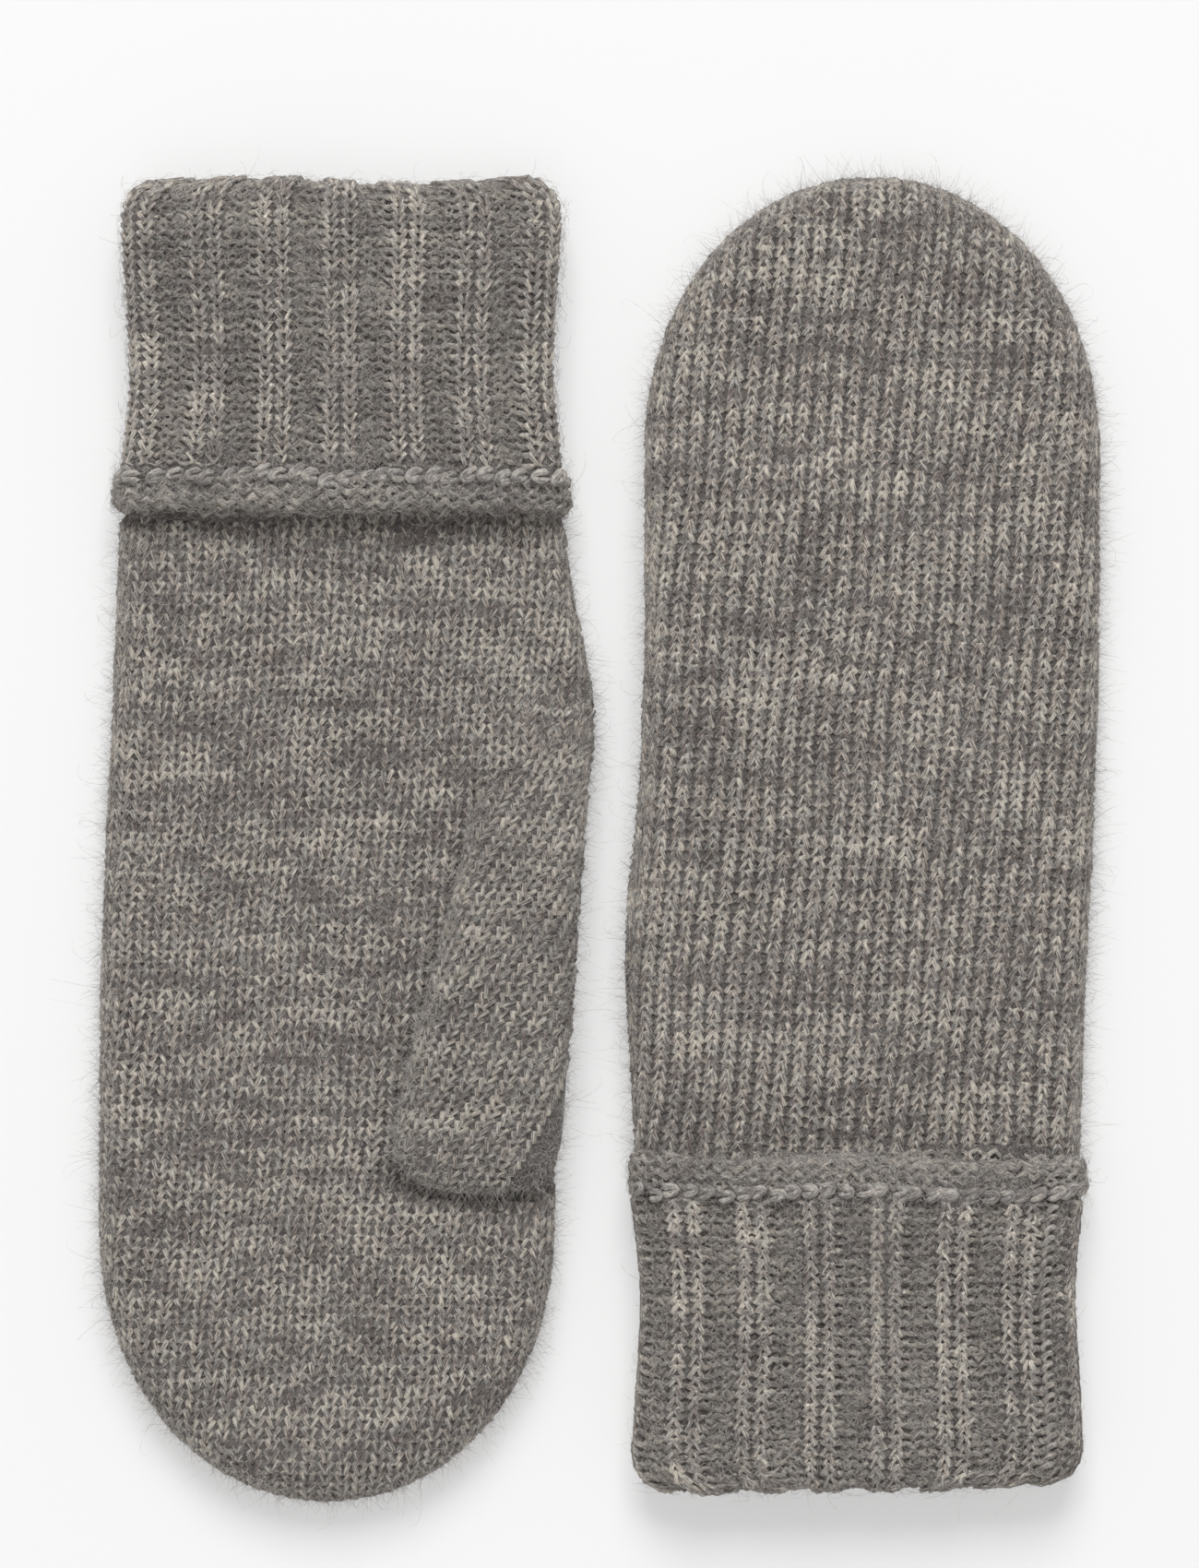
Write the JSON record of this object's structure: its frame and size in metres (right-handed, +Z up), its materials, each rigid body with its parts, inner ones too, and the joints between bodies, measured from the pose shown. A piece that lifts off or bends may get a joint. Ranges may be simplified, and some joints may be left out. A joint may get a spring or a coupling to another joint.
{
  "type": "knitted mittens",
  "caption": "Pair of soft knitted mittens with turned-back rib cuffs, lying flat: one palm up with the thumb folded over, one back up.",
  "frame": {"origin": "on the table, in the middle of the pair's bounding box", "axes": "+Z up from the table; +Y towards the fold of the left cuff and the fingertips of the right mitten; +X from the left mitten to the right one"},
  "size_m": [0.205, 0.2684, 0.0173],
  "materials": {
    "palm_knit": "heathered wool stockinette, soft and slightly felted",
    "back_knit": "heathered wool stockinette, soft and slightly felted",
    "thumb_knit": "heathered wool stockinette, soft and slightly felted",
    "rib_knit": "heathered wool two-by-two rib",
    "inner_rib": "heathered wool two-by-two rib, inner layer",
    "welt_yarn": "rolled edge loops of the same wool",
    "chain_yarn": "chain stitch of the same wool",
    "seam_yarn": "linked seam of the same wool"
  },
  "bodies": {
    "left_mitten": {"left_palm_panel": "palm_knit", "left_back_panel": "back_knit", "left_side_seam": "seam_yarn", "left_gusset_seam": "seam_yarn", "left_wrist_seam": "seam_yarn", "left_inner_cuff": "inner_rib", "left_thumb_root_seam": "seam_yarn"},
    "left_thumb_part": {"left_thumb": "thumb_knit", "left_thumb_tip_seam": "seam_yarn"},
    "left_cuff_part": {"left_turned_cuff": "rib_knit", "left_cuff_seam": "seam_yarn", "left_cuff_chain": "chain_yarn", "left_cuff_welt": "welt_yarn"},
    "right_mitten": {"right_palm_panel": "palm_knit", "right_back_panel": "back_knit", "right_side_seam": "seam_yarn", "right_gusset_seam": "seam_yarn", "right_wrist_seam": "seam_yarn", "right_inner_cuff": "inner_rib", "right_thumb_root_seam": "seam_yarn"},
    "right_thumb_part": {"right_thumb": "thumb_knit", "right_thumb_tip_seam": "seam_yarn"},
    "right_cuff_part": {"right_turned_cuff": "rib_knit", "right_cuff_seam": "seam_yarn", "right_cuff_chain": "chain_yarn", "right_cuff_welt": "welt_yarn"}
  },
  "joints": [
    {"name": "left_thumb_fold", "type": "hinge", "parent": "left_mitten", "child": "left_thumb_part", "pos_m": [-0.0046, 0.0205, 0.0115], "axis": [0.0698, 0.9976, 0], "range_deg": [0, 120]},
    {"name": "left_cuff_unroll", "type": "slide", "parent": "left_mitten", "child": "left_cuff_part", "axis": [0, 1, 0], "range_m": [0, 0.06]},
    {"name": "right_mitten_apart", "type": "slide", "parent": "left_mitten", "child": "right_mitten", "axis": [1, 0, 0], "range_m": [0, 0.06]},
    {"name": "right_thumb_fold", "type": "hinge", "parent": "right_mitten", "child": "right_thumb_part", "pos_m": [0.0046, -0.0205, 0.0058], "axis": [0.0698, 0.9976, 0], "range_deg": [0, 120]},
    {"name": "right_cuff_unroll", "type": "slide", "parent": "right_mitten", "child": "right_cuff_part", "axis": [0, -1, 0], "range_m": [0, 0.06]}
  ]
}
